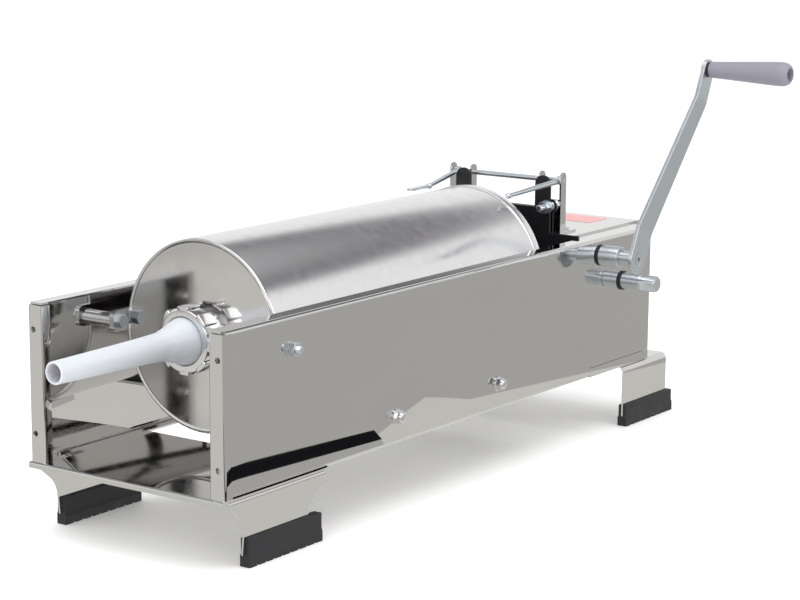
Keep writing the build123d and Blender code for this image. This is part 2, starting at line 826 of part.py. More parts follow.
with BuildPart() as piston_seal:
    with BuildSketch(end_plane(piston_front + 5)):
        with Locations((0, barrel_z)):
            Circle(bore_r - running)
            Circle(bore_r - 6, mode=Mode.SUBTRACT)
    extrude(amount=8)
save(piston_seal.part, "piston_seal")

with BuildPart() as piston_nut:
    with BuildSketch(end_plane(piston_front + 0.5)):
        with Locations((0, barrel_z)):
            RegularPolygon(11, 6)
            Circle(6, mode=Mode.SUBTRACT)
    extrude(amount=6.5)
save(piston_nut.part, "piston_nut")

with BuildPart() as air_valve:
    with BuildSketch(end_plane(piston_front)):
        with Locations((0, barrel_z + 55)):
            Circle(6)
    extrude(amount=piston_back - piston_front)
    with BuildSketch(end_plane(piston_back)):
        with Locations((0, barrel_z + 55)):
            Circle(9)
    extrude(amount=6)
save(air_valve.part, "air_valve")

rack_pitch = pi * rack_module
tooth_tip_z = rack_pitch_z - 2.0
tooth_root_z = rack_pitch_z + 3.1
tooth_half = rack_pitch / 4 - backlash / 4
rack_outline = [(piston_back, rack_top), (piston_back, tooth_root_z)]
for tooth in range(-64, 4):
    middle = gear_x + (tooth + 0.5) * rack_pitch
    root_half = tooth_half + (tooth_root_z - rack_pitch_z) * tan(pressure)
    tip_half = tooth_half - (rack_pitch_z - tooth_tip_z) * tan(pressure)
    rack_outline += [
        (middle - root_half, tooth_root_z),
        (middle - tip_half, tooth_tip_z),
        (middle + tip_half, tooth_tip_z),
        (middle + root_half, tooth_root_z),
    ]
rack_outline += [(rack_rear, tooth_root_z), (rack_rear, rack_top)]

with BuildPart() as rack:
    with BuildSketch(side_plane(rack_width / 2)):
        with BuildLine():
            Polyline(*rack_outline, close=True)
        make_face()
    extrude(amount=rack_width)
    # Stud through the piston
    with BuildSketch(end_plane(piston_front + 0.5)):
        with Locations((0, barrel_z)):
            Circle(6)
    extrude(amount=piston_back - piston_front)
save(rack.part, "rack")

# ---------------------------------------------------------------- latch

with BuildPart() as latch_rod:
    with BuildSketch(side_plane(79)):
        with Locations((latch_x, latch_z)):
            Circle(3)
    extrude(amount=158)
save(latch_rod.part, "latch_rod")


def lever(tip_x, tip_z):
    """Tapered lever from a boss on the latch rod down to a ball over the barrel's rim."""
    root = Vector(*at(latch_x, -73.2, latch_z))
    tip = Vector(*at(tip_x, -57, tip_z))
    with BuildPart() as bar:
        with BuildSketch(Plane(origin=root, z_dir=tip - root)):
            Circle(3.6)
        with BuildSketch(Plane(origin=tip, z_dir=tip - root)):
            Circle(2.3)
        loft()
        with Locations(tip):
            Sphere(3.6)
        with BuildSketch(side_plane(-70)):
            with Locations((latch_x, latch_z)):
                Circle(5.2)
        extrude(amount=6.4)
        with BuildSketch(side_plane(-60)):
            with Locations((latch_x, latch_z)):
                Circle(3)
        extrude(amount=20, mode=Mode.SUBTRACT)
    return bar.part


save(lever(596, 219), "latch_lever_near")

with BuildPart() as far_lever:
    add(lever(600, 220.5))
    # Flat tongue beyond the ball
    with BuildSketch(level_plane(219)):
        with Locations((580, -57)):
            RectangleRounded(44, 8, 2.5)
    extrude(amount=2.4)
save(mirror(far_lever.part, about=mid_plane), "latch_lever_far")

# ---------------------------------------------------------------- nozzle

with BuildPart() as funnel:
    with BuildSketch(side_plane(0)):
        with BuildLine():
            Polyline((collar_front, barrel_z + 19), (collar_front, barrel_z + 27.6), (92.6, barrel_z + 27.6))
            Line((92.6, barrel_z + 27.6), (92.6, barrel_z + 24.4))
            Spline(
                (92.6, barrel_z + 24.4), (78, barrel_z + 22.4), (62, barrel_z + 16.6), (50, barrel_z + 14.2),
                tangents=((-1, 0), (-1, -0.08)),
            )
            Line((50, barrel_z + 14.2), (-tip_reach + 1, barrel_z + 11.3))
            Line((-tip_reach + 1, barrel_z + 11.3), (-tip_reach, barrel_z + 10.3))
            Line((-tip_reach, barrel_z + 10.3), (-tip_reach, barrel_z + 9))
            Line((-tip_reach, barrel_z + 9), (50, barrel_z + 11.4))
            Spline(
                (50, barrel_z + 11.4),
                (62, barrel_z + 13.6),
                (78, barrel_z + 18),
                (collar_front, barrel_z + 19),
                tangents=((1, 0.08), (1, 0)),
            )
        make_face()
    revolve(axis=barrel_axis)
save(funnel.part, "funnel")

with BuildPart() as ring_nut:
    with BuildSketch(end_plane(88)):
        with Locations((0, barrel_z)):
            Circle(31.5)
            with PolarLocations(32.4, 8):
                RectangleRounded(5.2, 12, 1.5)
    extrude(amount=20)
    with BuildSketch(end_plane(92.5)):
        with Locations((0, barrel_z)):
            Circle(collar_r + running)
    extrude(amount=20, mode=Mode.SUBTRACT)
    with BuildSketch(end_plane(88)):
        with Locations((0, barrel_z)):
            Circle(25)
    extrude(amount=6, mode=Mode.SUBTRACT)
    with BuildSketch(end_plane(88)):
        with Locations((0, barrel_z)):
            Circle(25.8)
    extrude(amount=0.8, taper=45, mode=Mode.SUBTRACT)
save(ring_nut.part, "ring_nut")
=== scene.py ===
"""A crank-driven horizontal sausage stuffer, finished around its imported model, in a small studio."""
import json
import math

import bmesh
import bpy
from mathutils import Matrix, Vector

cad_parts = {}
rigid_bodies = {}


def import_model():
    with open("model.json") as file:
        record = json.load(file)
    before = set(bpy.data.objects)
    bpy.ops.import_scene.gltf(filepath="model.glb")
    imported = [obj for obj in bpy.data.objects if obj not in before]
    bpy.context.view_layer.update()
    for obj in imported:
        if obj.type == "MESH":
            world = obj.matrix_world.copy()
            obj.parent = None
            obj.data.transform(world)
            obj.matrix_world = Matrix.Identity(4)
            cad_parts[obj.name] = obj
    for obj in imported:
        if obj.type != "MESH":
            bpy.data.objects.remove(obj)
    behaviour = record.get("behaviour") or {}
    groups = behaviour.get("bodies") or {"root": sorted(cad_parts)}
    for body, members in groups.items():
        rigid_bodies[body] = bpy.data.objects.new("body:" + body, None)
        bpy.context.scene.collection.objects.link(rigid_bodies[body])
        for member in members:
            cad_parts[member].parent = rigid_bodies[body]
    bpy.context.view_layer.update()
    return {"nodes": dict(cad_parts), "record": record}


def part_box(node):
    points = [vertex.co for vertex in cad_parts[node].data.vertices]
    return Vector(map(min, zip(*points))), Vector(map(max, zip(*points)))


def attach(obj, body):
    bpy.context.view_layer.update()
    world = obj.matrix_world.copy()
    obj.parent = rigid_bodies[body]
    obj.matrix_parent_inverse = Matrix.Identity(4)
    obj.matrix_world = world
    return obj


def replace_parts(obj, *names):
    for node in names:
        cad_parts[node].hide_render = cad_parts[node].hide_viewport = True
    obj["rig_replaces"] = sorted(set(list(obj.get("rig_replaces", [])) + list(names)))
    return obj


bl_info = {
    "name": "Sausage Stuffer",
    "version": (1, 0, 0),
    "blender": (4, 5, 0),
    "location": "View3D > Sidebar > Stuffer",
    "description": "Finishes the stuffer's pieces and sets up a studio around them",
    "category": "Object",
}

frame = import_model()
NODES = frame["nodes"]
BODIES = frame["record"]["behaviour"]["bodies"]
BODY_OF = {node: body for body, nodes in BODIES.items() for node in nodes}
SLOT_OF = {row["node"]: row["material_slot"] for row in frame["record"]["subparts"]}
MM = 0.001


def linear(hex_colour):
    """sRGB hex text as linear RGBA."""
    channels = [int(hex_colour.lstrip("#")[i : i + 2], 16) / 255 for i in (0, 2, 4)]
    return (*[c / 12.92 if c <= 0.04045 else ((c + 0.055) / 1.055) ** 2.4 for c in channels], 1.0)


# ------------------------------------------------------------------ settings


def hex_property(name, description, default):
    """Text property holding an sRGB hex colour."""
    return bpy.props.StringProperty(name=name, description=description, default=default)


class StufferColours(bpy.types.PropertyGroup):
    """Colours of the finishes, as sRGB hex."""

    mirror_steel: hex_property("Mirror steel", "Polished sheet", "#d2d1d0")
    satin_steel: hex_property("Satin steel", "Barrel and turned pieces", "#e2e1e2")
    zinc: hex_property("Zinc", "Crank, shafts and bolts", "#d6dde3")
    cut_steel: hex_property("Cut steel", "Gears and rack", "#8f8e8a")
    bronze: hex_property("Bronze", "Bushes", "#b08a4a")
    black_paint: hex_property("Black paint", "Gear plate", "#131117")
    rubber: hex_property("Rubber", "Feet and seals", "#161519")
    nylon: hex_property("White nylon", "Funnel", "#d0d4da")
    grip: hex_property("Grey nylon", "Handle grip", "#8b8994")
    black_nylon: hex_property("Black nylon", "Handle washer", "#19181a")
    label: hex_property("Label", "Plain label on the cover", "#d79a98")


class StufferSizes(bpy.types.PropertyGroup):
    """Sizes that shape the Blender pieces and the view."""

    weld_bead: bpy.props.FloatProperty(
        name="Weld bead",
        description="Radius of the bead round the barrel's front",
        default=0.9 * MM,
        unit="LENGTH",
    )
    lug_count: bpy.props.IntProperty(name="Lugs", description="Lugs round the ring nut", default=8)
    lens: bpy.props.FloatProperty(name="Lens", description="Focal length in millimetres", default=101.83)
    camera_yaw: bpy.props.FloatProperty(
        name="Yaw",
        description="Viewing direction from +X towards +Y",
        default=math.radians(35.477),
        subtype="ANGLE",
    )
    camera_pitch: bpy.props.FloatProperty(
        name="Pitch",
        description="Viewing direction below the horizon",
        default=math.radians(10.837),
        subtype="ANGLE",
    )
    camera_roll: bpy.props.FloatProperty(
        name="Roll",
        description="Turn about the viewing direction",
        default=math.radians(0.431),
        subtype="ANGLE",
    )
    camera_place: bpy.props.FloatVectorProperty(
        name="Place",
        description="Camera's place",
        default=(-1.97048, -1.37169, 0.66577),
        subtype="TRANSLATION",
    )


# ------------------------------------------------------------------ materials


def add(tree, kind, links=None, **settings):
    """Adds a shader or geometry node, sets its attributes and inputs, and links sockets into it."""
    new = tree.nodes.new(kind)
    for name, value in settings.items():
        if hasattr(new, name):
            setattr(new, name, value)
        else:
            new.inputs[name.replace("_", " ")].default_value = value
    for name, source in (links or {}).items():
        tree.links.new(source, new.inputs[name])
    return new


def start_material(name, **settings):
    """New node material with a Principled shader and Object coordinates in metres."""
    material = bpy.data.materials.new(name)
    material.use_nodes = True
    tree = material.node_tree
    tree.nodes.clear()
    shader = add(tree, "ShaderNodeBsdfPrincipled", **settings)
    add(tree, "ShaderNodeOutputMaterial", {"Surface": shader.outputs[0]})
    coords = add(tree, "ShaderNodeTexCoord").outputs["Object"]
    return material, tree, shader, coords


def grain(tree, coords, size_mm, stretch=(1, 1, 1), detail=3.0):
    """Noise whose features are size_mm across, drawn out by stretch along each axis."""
    place = add(tree, "ShaderNodeMapping", {"Vector": coords}, Scale=[1 / s for s in stretch])
    links = {"Vector": place.outputs[0]}
    return add(tree, "ShaderNodeTexNoise", links, Scale=1000 / size_mm, Detail=detail).outputs[0]


def vary(tree, factor, low, high, start=0.3, end=0.7):
    """Maps a 0 to 1 pattern onto the range low to high."""
    return add(
        tree, "ShaderNodeMapRange", {"Value": factor}, From_Min=start, From_Max=end, To_Min=low, To_Max=high
    ).outputs[0]


def tint(tree, factor, colour_a, colour_b):
    """Mixes two colours by a pattern."""
    mix = add(tree, "ShaderNodeMix", data_type="RGBA")
    tree.links.new(factor, mix.inputs[0])
    mix.inputs[6].default_value = colour_a
    mix.inputs[7].default_value = colour_b
    return mix.outputs[2]


def shade(colour, factor):
    """A colour made lighter or darker."""
    return (*[min(1.0, c * factor) for c in colour[:3]], 1.0)


def bump(tree, shader, height, depth_mm, strength=1.0):
    """Raises the surface by a pattern."""
    relief = add(tree, "ShaderNodeBump", {"Height": height}, Strength=strength, Distance=depth_mm * MM)
    tree.links.new(relief.outputs[0], shader.inputs["Normal"])


def mirror_stainless(colours):
    """Mirror-polished stainless sheet: clear reflections, bent a little by the rolled sheet."""
    base = linear(colours.mirror_steel)
    material, tree, shader, coords = start_material("mirror_polished_stainless", Metallic=1.0)
    smear = grain(tree, coords, 60, (2.5, 1, 1), 4)
    tree.links.new(tint(tree, smear, base, shade(base, 0.93)), shader.inputs["Base Color"])
    tree.links.new(vary(tree, smear, 0.01, 0.035), shader.inputs["Roughness"])
    bump(tree, shader, grain(tree, coords, 260, (2, 1, 1), 1), 0.2, 0.3)
    return material


def disc_stainless(colours):
    """Polished disc of the barrel's front: a soft mirror, blurred by its finer grinding."""
    base = linear(colours.mirror_steel)
    material, tree, shader, coords = start_material("soft_polished_stainless", Metallic=1.0)
    clouds = grain(tree, coords, 30, (1, 1, 1), 4)
    tree.links.new(tint(tree, clouds, base, shade(base, 0.92)), shader.inputs["Base Color"])
    tree.links.new(vary(tree, clouds, 0.09, 0.15), shader.inputs["Roughness"])
    return material


def satin_stainless(colours):
    """Stainless tube, finely ground and half polished: soft highlights and faint handling marks."""
    base = linear(colours.satin_steel)
    material, tree, shader, coords = start_material("satin_ground_stainless", Metallic=1.0)
    lines = grain(tree, coords, 1.4, (1, 1, 1), 2)
    streaks = grain(tree, coords, 12, (1, 1, 1), 3)
    marks = grain(tree, coords, 34, (1, 1, 1), 5)
    tone = add(tree, "ShaderNodeMath", operation="MULTIPLY")
    tree.links.new(streaks, tone.inputs[0])
    tree.links.new(marks, tone.inputs[1])
    worn = vary(tree, tone.outputs[0], 0, 1, 0.15, 0.4)
    tree.links.new(tint(tree, worn, base, shade(base, 0.97)), shader.inputs["Base Color"])
    tree.links.new(vary(tree, streaks, 0.15, 0.21), shader.inputs["Roughness"])
    bump(tree, shader, lines, 0.01, 0.3)
    return material


def polished_stainless(colours):
    """Turned and buffed stainless: bright, with fine turning marks."""
    base = linear(colours.satin_steel)
    material, tree, shader, coords = start_material("buffed_turned_stainless", Metallic=1.0)
    marks = grain(tree, coords, 2.5, (1, 1, 1), 4)
    tree.links.new(tint(tree, marks, base, shade(base, 0.88)), shader.inputs["Base Color"])
    tree.links.new(vary(tree, marks, 0.09, 0.17), shader.inputs["Roughness"])
    return material


def zinc_steel(colours):
    """Bright zinc plating on steel: bluish, clouded by the bath and rubbed brighter in places."""
    base = linear(colours.zinc)
    material, tree, shader, coords = start_material("blue_zinc_plated_steel", Metallic=1.0)
    cloud = grain(tree, coords, 22, (1, 1, 2), 5)
    speck = grain(tree, coords, 1.8, (1, 1, 1), 2)
    tree.links.new(tint(tree, cloud, base, shade(base, 0.86)), shader.inputs["Base Color"])
    tree.links.new(vary(tree, cloud, 0.24, 0.36), shader.inputs["Roughness"])
    bump(tree, shader, speck, 0.03, 0.35)
    return material


def black_paint(colours):
    """Black powder coat: a fine orange peel and a soft sheen."""
    base = linear(colours.black_paint)
    material, tree, shader, coords = start_material("black_powder_coat", Roughness=0.42)
    peel = grain(tree, coords, 1.6, (1, 1, 1), 2)
    tree.links.new(tint(tree, grain(tree, coords, 30), base, shade(base, 1.5)), shader.inputs["Base Color"])
    bump(tree, shader, peel, 0.06, 0.4)
    return material


def gear_steel(colours):
    """Cut steel with a film of oil: darker, with cutter marks."""
    base = linear(colours.cut_steel)
    material, tree, shader, coords = start_material("oiled_cut_steel", Metallic=1.0)
    marks = grain(tree, coords, 1.2, (1, 6, 1), 3)
    tree.links.new(tint(tree, marks, base, shade(base, 0.7)), shader.inputs["Base Color"])
    tree.links.new(vary(tree, marks, 0.25, 0.4), shader.inputs["Roughness"])
    return material


def bronze(colours):
    """Sintered bronze bush: warm, matt and slightly porous."""
    base = linear(colours.bronze)
    material, tree, shader, coords = start_material("sintered_bronze", Metallic=1.0, Roughness=0.38)
    pores = grain(tree, coords, 0.8, (1, 1, 1), 2)
    tree.links.new(tint(tree, pores, base, shade(base, 0.8)), shader.inputs["Base Color"])
    bump(tree, shader, pores, 0.03, 0.5)
    return material


def rubber(colours):
    """Moulded black rubber: matt, dusty grey on its high spots."""
    base = linear(colours.rubber)
    material, tree, shader, coords = start_material("moulded_black_rubber")
    dust = grain(tree, coords, 14, (1, 1, 1), 6)
    pebble = grain(tree, coords, 0.9, (1, 1, 1), 2)
    tree.links.new(tint(tree, vary(tree, dust, 0, 1), base, shade(base, 1.7)), shader.inputs["Base Color"])
    tree.links.new(vary(tree, dust, 0.5, 0.68), shader.inputs["Roughness"])
    bump(tree, shader, pebble, 0.05, 0.5)
    return material


def white_nylon(colours):
    """White injection-moulded nylon: soft gloss, light let in a little under the skin."""
    base = linear(colours.nylon)
    material, tree, shader, coords = start_material(
        "white_moulded_nylon", Subsurface_Weight=0.25, Subsurface_Scale=0.004, IOR=1.5
    )
    flow = grain(tree, coords, 26, (4, 1, 1), 3)
    tree.links.new(tint(tree, flow, base, shade(base, 0.94)), shader.inputs["Base Color"])
    tree.links.new(vary(tree, flow, 0.28, 0.38), shader.inputs["Roughness"])
    bump(tree, shader, grain(tree, coords, 5, (3, 1, 1), 2), 0.02, 0.4)
    return material


def grey_nylon(colours):
    """Grey moulded nylon grip: fine spark-eroded texture, worn smoother in patches."""
    base = linear(colours.grip)
    material, tree, shader, coords = start_material("grey_moulded_nylon", IOR=1.5)
    wear = grain(tree, coords, 18, (1, 2, 1), 4)
    tree.links.new(tint(tree, wear, base, shade(base, 0.9)), shader.inputs["Base Color"])
    tree.links.new(vary(tree, wear, 0.4, 0.55), shader.inputs["Roughness"])
    bump(tree, shader, grain(tree, coords, 0.7, (1, 1, 1), 2), 0.04, 0.5)
    return material


def black_nylon(colours):
    """Black moulded nylon washer."""
    material, tree, shader, coords = start_material("black_moulded_nylon", IOR=1.5)
    base = linear(colours.black_nylon)
    tree.links.new(tint(tree, grain(tree, coords, 6), base, shade(base, 1.5)), shader.inputs["Base Color"])
    tree.links.new(vary(tree, grain(tree, coords, 4), 0.4, 0.55), shader.inputs["Roughness"])
    return material


def label_foil(colours):
    """Printed foil label: satin film with faded ink."""
    base = linear(colours.label)
    material, tree, shader, coords = start_material("faded_label_foil", IOR=1.45)
    fade = grain(tree, coords, 20, (2, 1, 1), 3)
    tree.links.new(tint(tree, fade, base, shade(base, 1.15)), shader.inputs["Base Color"])
    tree.links.new(vary(tree, fade, 0.3, 0.45), shader.inputs["Roughness"])
    return material


FINISHES = {
    "mirror_stainless": mirror_stainless,
    "satin_stainless": satin_stainless,
    "polished_stainless": polished_stainless,
    "zinc_steel": zinc_steel,
    "black_paint": black_paint,
    "gear_steel": gear_steel,
    "bronze": bronze,
    "rubber": rubber,
    "white_plastic": white_nylon,
    "grey_plastic": grey_nylon,
    "black_plastic": black_nylon,
    "disc": disc_stainless,
    "label": label_foil,
}
MATERIALS = {}


def finish(slot):
    """The material of a slot, made the first time it is asked for."""
    if slot not in MATERIALS:
        MATERIALS[slot] = FINISHES[slot](bpy.context.scene.stuffer_colours)
    return MATERIALS[slot]


# ------------------------------------------------------------------ mesh helpers


def new_piece(name, mesh, slot, body, *nodes):
    """Links a finished mesh as a piece, gives it the material of its slot when it has none, sets it on its
    body and hides the nodes it stands for.
    """
    piece = bpy.data.objects.new(name, mesh)
    bpy.context.scene.collection.objects.link(piece)
    if not mesh.materials:
        mesh.materials.append(finish(slot))
    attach(piece, body)
    if nodes:
        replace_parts(piece, *nodes)
    return piece


def smooth(mesh, angle=30):
    """Smooth shading that keeps edges sharper than the angle."""
    mesh.shade_smooth()
    mesh.set_sharp_from_angle(angle=math.radians(angle))


def lathe(name, outline, origin, axis, sides=144):
    """Closed surface of revolution; outline goes round the section as (distance along axis, radius)."""
    axis = Vector(axis).normalized()
    across = axis.orthogonal().normalized()
    mesh = bpy.data.meshes.new(name)
    bm = bmesh.new()
    rings = []
    for along, radius in outline:
        ring = []
        for step in range(sides):
            turn = Matrix.Rotation(2 * math.pi * step / sides, 3, axis)
            ring.append(bm.verts.new(Vector(origin) + axis * along + turn @ across * radius))
        rings.append(ring)
    for ring, after in zip(rings, rings[1:] + rings[:1]):
        for step in range(sides):
            beside = (step + 1) % sides
            bm.faces.new((ring[step], ring[beside], after[beside], after[step]))
    bmesh.ops.remove_doubles(bm, verts=bm.verts, dist=1e-7)
    bmesh.ops.recalc_face_normals(bm, faces=bm.faces)
    bm.to_mesh(mesh)
    bm.free()
    smooth(mesh)
    return mesh


def arc(centre, radius, start, end, steps=6):
    """Points on a round corner of an outline, in degrees."""
    turns = [math.radians(start + (end - start) * i / steps) for i in range(steps + 1)]
    return [(centre[0] + radius * math.cos(t), centre[1] + radius * math.sin(t)) for t in turns]


def smooth_curve(points, steps=10):
    """Catmull-Rom points through an outline's corners."""
    result = []
    padded = [points[0], *points, points[-1]]
    for a, b, c, d in zip(padded, padded[1:], padded[2:], padded[3:]):
        for i in range(steps):
            t = i / steps
            result.append(
                tuple(
                    q
                    + 0.5 * (r - p) * t
                    + 0.5 * (2 * p - 5 * q + 4 * r - s) * t**2
                    + 0.5 * (3 * q - p - 3 * r + s) * t**3
                    for p, q, r, s in zip(a, b, c, d)
                )
            )
    return [*result, points[-1]]


def merged_copy(node):
    """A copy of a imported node's mesh with its triangles joined into clean faces and smooth bends."""
    mesh = NODES[node].data.copy()
    mesh.name = node + "_finished"
    bm = bmesh.new()
    bm.from_mesh(mesh)
    bmesh.ops.remove_doubles(bm, verts=bm.verts, dist=1e-6)
    bmesh.ops.dissolve_limit(bm, angle_limit=math.radians(0.5), verts=bm.verts, edges=bm.edges)
    bm.to_mesh(mesh)
    bm.free()
    mesh.materials.clear()
    smooth(mesh)
    return mesh


# ------------------------------------------------------------------ pieces

ALONG = (1, 0, 0)  # the barrel's axis
BARREL_SIDES = 192
BARREL_WALL = 1.5 * MM
COLLAR_R = 28 * MM  # the collar passes through the barrel's front plate

# Sections as (distance along the axis, radius), in millimetres
FUNNEL_OUTSIDE = (
    (3.4, 24.4),
    (9, 23.8),
    (17, 21.6),
    (26, 18.6),
    (36, 16.0),
    (48, 14.3),
    (100, 12.8),
    (190, 11.3),
)
FUNNEL_INSIDE = ((190.4, 9.1), (100, 10.3), (46, 11.4), (34, 13.6), (18, 18), (0, 19))
GRIP_SIDE = ((0.3, 8.4), (2.4, 9.4), (27, 10.7), (62, 12.7), (87, 13.9), (95, 13.4), (99.6, 11.4))
GRIP_BORE = 5.06  # round the spindle
GRIP_RECESS = 7.6  # round the screw's head

LUG_SIZE = (5.2, 14)  # across and along the ring nut's edge
LUG_PLACE = 32.4  # distance of the lugs' middles from the axis
RING_BODY = 32.6
RING_BORE = 28.05  # over the collar
RING_MOUTH = 25  # round the funnel's flange

# Rounding of the edges of handled or machined nodes
ROUNDED = {
    "crank_arm": 0.7,
    "crank_hub": 0.5,
    "cap_nuts": 0.4,
    "hex_nuts": 0.4,
    "gear_shaft": 0.4,
    "gear_plate": 0.4,
}


class STUFFER_OT_barrel(bpy.types.Operator):
    """Barrel tube, its rolled rim and its polished front plate with a weld bead"""

    bl_idname = "stuffer.barrel"
    bl_label = "Barrel"

    def execute(self, context):
        bead = context.scene.stuffer_sizes.weld_bead
        low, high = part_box("barrel_tube")
        centre = (low + high) / 2
        radius = (high.y - low.y) / 2
        bore = radius - BARREL_WALL
        length = high.x - low.x
        start = Vector((low.x, centre.y, centre.z))
        round_edge = 1.2 * MM
        outline = [
            (0.0005, bore),
            (0.0, bore + 0.2 * MM),
            *arc((round_edge, radius - round_edge), round_edge, 180, 90),
            (length, radius),
            (length, bore),
        ]
        mesh = lathe("barrel_tube", outline, start, ALONG, BARREL_SIDES)
        new_piece("barrel_tube_polished", mesh, "satin_stainless", "machine", "barrel_tube")
        low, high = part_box("barrel_rim")
        rim = (high.y - low.y) / 2
        width = high.x - low.x
        lip = 0.7 * MM
        outline = [
            (0, radius + 0.01 * MM),
            *arc((lip, rim - lip), lip, 180, 90),
            *arc((width - lip, rim - lip), lip, 90, 0),
            (width, radius + 0.01 * MM),
        ]
        mesh = lathe("barrel_rim", outline, (low.x, centre.y, centre.z), ALONG, BARREL_SIDES)
        new_piece("barrel_rim_polished", mesh, "satin_stainless", "machine", "barrel_rim")
        low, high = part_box("barrel_front_plate")
        thick = high.x - low.x
        outline = [
            (0, COLLAR_R),
            (0, bore - 3 * bead - MM),
            (0, bore - 3 * bead),
            *arc((0, bore - bead), bead, -180, -360, 8),
            (thick, bore),
            (thick, COLLAR_R),
        ]
        mesh = lathe("barrel_front", outline, (low.x, centre.y, centre.z), ALONG, BARREL_SIDES)
        mesh.materials.append(finish("disc"))
        new_piece("barrel_front_polished", mesh, "mirror_stainless", "machine", "barrel_front_plate")
        return {"FINISHED"}


class STUFFER_OT_funnel(bpy.types.Operator):
    """Moulded funnel with its flare and tapering tube"""

    bl_idname = "stuffer.funnel"
    bl_label = "Funnel"

    def execute(self, context):
        low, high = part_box("funnel")
        centre = (low + high) / 2
        length = high.x - low.x
        flange = (high.y - low.y) / 2
        outline = [(0, flange), (3.4 * MM, flange)]
        outline += [(a * MM, r * MM) for a, r in smooth_curve(FUNNEL_OUTSIDE)]
        outline += [(length, 10.5 * MM), (length, 9.4 * MM)]
        outline += [(a * MM, r * MM) for a, r in smooth_curve(FUNNEL_INSIDE)]
        mesh = lathe("funnel", outline, (high.x, centre.y, centre.z), (-1, 0, 0), 96)
        new_piece("funnel_moulded", mesh, "white_plastic", "nozzle", "funnel")
        return {"FINISHED"}


class STUFFER_OT_handle(bpy.types.Operator):
    """Grey grip with its rounded end and screw recess"""

    bl_idname = "stuffer.handle"
    bl_label = "Handle"

    def execute(self, context):
        low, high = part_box("handle_grip")
        centre = (low + high) / 2
        length = high.y - low.y
        outline = [(0, GRIP_BORE * MM), (0, 8 * MM)]
        outline += [(a * MM, r * MM) for a, r in smooth_curve(GRIP_SIDE)]
        outline += [(length - 0.3 * MM, 9.6 * MM), (length, 8.6 * MM), (length, 7.8 * MM)]
        floor = length - 12.2 * MM
        outline += [(length - 0.4 * MM, GRIP_RECESS * MM), (floor, GRIP_RECESS * MM)]
        outline += [(floor, GRIP_BORE * MM)]
        mesh = lathe("grip", outline, (centre.x, high.y, centre.z), (0, -1, 0), 96)
        new_piece("handle_grip_moulded", mesh, "grey_plastic", "handle", "handle_grip")
        return {"FINISHED"}


def lug_tree():
    """Geometry Nodes tree that sets lugs round a circle in the XY plane."""
    tree = bpy.data.node_groups.new("ring_nut_lugs", "GeometryNodeTree")
    tree.interface.new_socket("Geometry", in_out="OUTPUT", socket_type="NodeSocketGeometry")
    for name, kind in (("Count", "Int"), ("Radius", "Float"), ("Lug", "Object"), ("Material", "Material")):
        tree.interface.new_socket(name, in_out="INPUT", socket_type="NodeSocket" + kind)
    inputs = add(tree, "NodeGroupInput").outputs
    circle = add(tree, "GeometryNodeMeshCircle", {"Vertices": inputs["Count"], "Radius": inputs["Radius"]})
    index = add(tree, "GeometryNodeInputIndex").outputs[0]
    part = add(tree, "ShaderNodeMath", operation="DIVIDE")
    tree.links.new(index, part.inputs[0])
    tree.links.new(inputs["Count"], part.inputs[1])
    turn = add(tree, "ShaderNodeMath", operation="MULTIPLY")
    tree.links.new(part.outputs[0], turn.inputs[0])
    turn.inputs[1].default_value = 2 * math.pi
    spin = add(tree, "ShaderNodeCombineXYZ", {"Z": turn.outputs[0]})
    lug = add(tree, "GeometryNodeObjectInfo", {"Object": inputs["Lug"]})
    links = {"Points": circle.outputs[0], "Instance": lug.outputs["Geometry"], "Rotation": spin.outputs[0]}
    placed = add(tree, "GeometryNodeInstanceOnPoints", links)
    real = add(tree, "GeometryNodeRealizeInstances", {0: placed.outputs[0]})
    links = {"Geometry": real.outputs[0], "Material": inputs["Material"]}
    painted = add(tree, "GeometryNodeSetMaterial", links)
    add(tree, "NodeGroupOutput", {0: painted.outputs[0]})
    return tree


